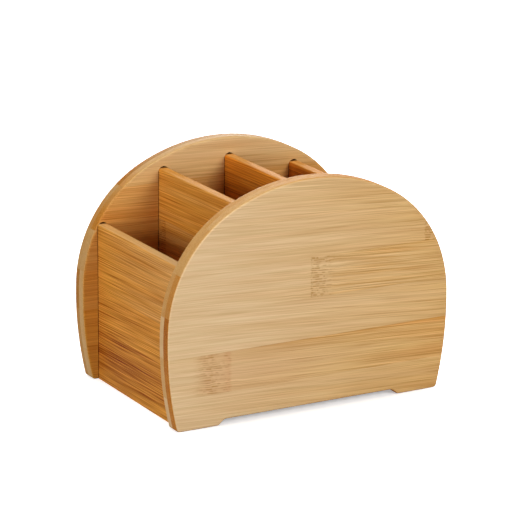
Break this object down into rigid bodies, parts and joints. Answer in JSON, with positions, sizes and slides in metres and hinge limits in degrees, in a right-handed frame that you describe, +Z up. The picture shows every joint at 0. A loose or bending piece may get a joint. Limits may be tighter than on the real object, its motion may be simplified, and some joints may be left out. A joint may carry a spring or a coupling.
{
  "type": "desk organiser",
  "caption": "Open bamboo desk organiser: arched front and rear panels joined by upright walls that divide it into narrow bays over a base board, standing on low feet.",
  "frame": {"origin": "middle of the footprint, on the surface that the feet stand on", "axes": "+X along the panels towards the narrow bay, +Y from the front panel to the rear panel, +Z up"},
  "size_m": [0.18, 0.114, 0.134],
  "materials": {
    "bamboo_panels": "clear satin lacquer over pressed bamboo strips, grain along X",
    "bamboo_walls": "clear satin lacquer over pressed bamboo strips, grain along Y",
    "bamboo_base": "clear satin lacquer over pressed bamboo strips, grain along X"
  },
  "bodies": {
    "root": {"front_panel": "bamboo_panels", "rear_panel": "bamboo_panels", "left_end_wall": "bamboo_walls", "left_divider": "bamboo_walls", "middle_divider": "bamboo_walls", "right_divider": "bamboo_walls", "right_end_wall": "bamboo_walls", "base_board": "bamboo_base"}
  },
  "joints": []
}
